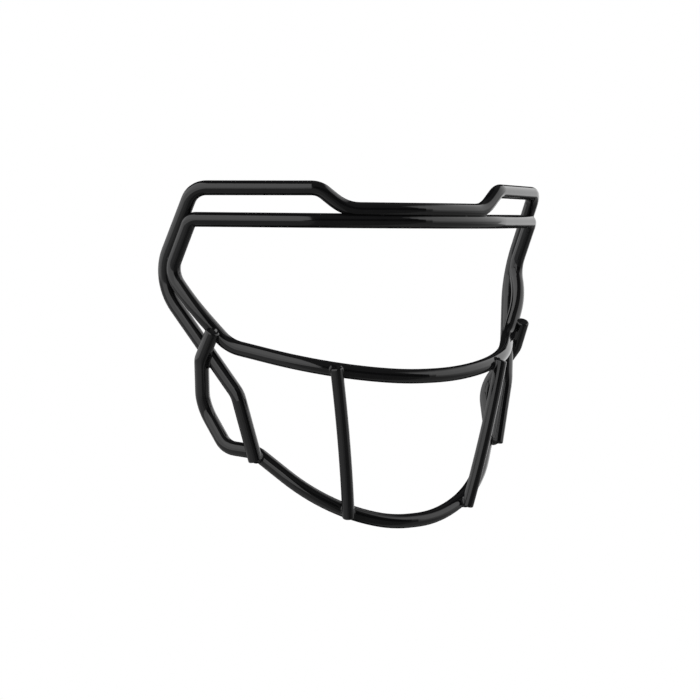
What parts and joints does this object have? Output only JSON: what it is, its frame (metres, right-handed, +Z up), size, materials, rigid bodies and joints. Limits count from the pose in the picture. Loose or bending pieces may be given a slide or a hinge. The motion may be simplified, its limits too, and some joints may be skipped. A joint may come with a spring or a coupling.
{
  "type": "football helmet facemask",
  "caption": "Open wire face guard for a football helmet: bent, welded and coated steel rods with a dipped brow, an eye opening, a mouth bar, upright bars and a hooked chin bar.",
  "frame": {"origin": "middle of the overall box of the mask as worn", "axes": "+Z up, -Y the front (the way the wearer looks), +X the wearer's left"},
  "size_m": [0.2258, 0.0792, 0.1735],
  "materials": {
    "steel_rod": "drawn",
    "weld_metal": "as welded",
    "black_coating": "gloss"
  },
  "bodies": {
    "root": {"outer_frame_wire": "steel_rod", "eye_frame_wire": "steel_rod", "chin_wire": "steel_rod", "left_upright_wire": "steel_rod", "right_upright_wire": "steel_rod", "left_dip_weld": "weld_metal", "right_dip_weld": "weld_metal", "left_temple_weld": "weld_metal", "right_temple_weld": "weld_metal", "left_leg_weld": "weld_metal", "right_leg_weld": "weld_metal", "left_hook_cross_weld": "weld_metal", "right_hook_cross_weld": "weld_metal", "left_hook_tip_weld": "weld_metal", "right_hook_tip_weld": "weld_metal", "left_upright_top_weld": "weld_metal", "right_upright_top_weld": "weld_metal", "left_upright_foot_weld": "weld_metal", "right_upright_foot_weld": "weld_metal", "brow_butt_weld": "weld_metal", "outer_frame_coat": "black_coating", "eye_frame_coat": "black_coating", "chin_coat": "black_coating", "left_upright_coat": "black_coating", "right_upright_coat": "black_coating"}
  },
  "joints": []
}
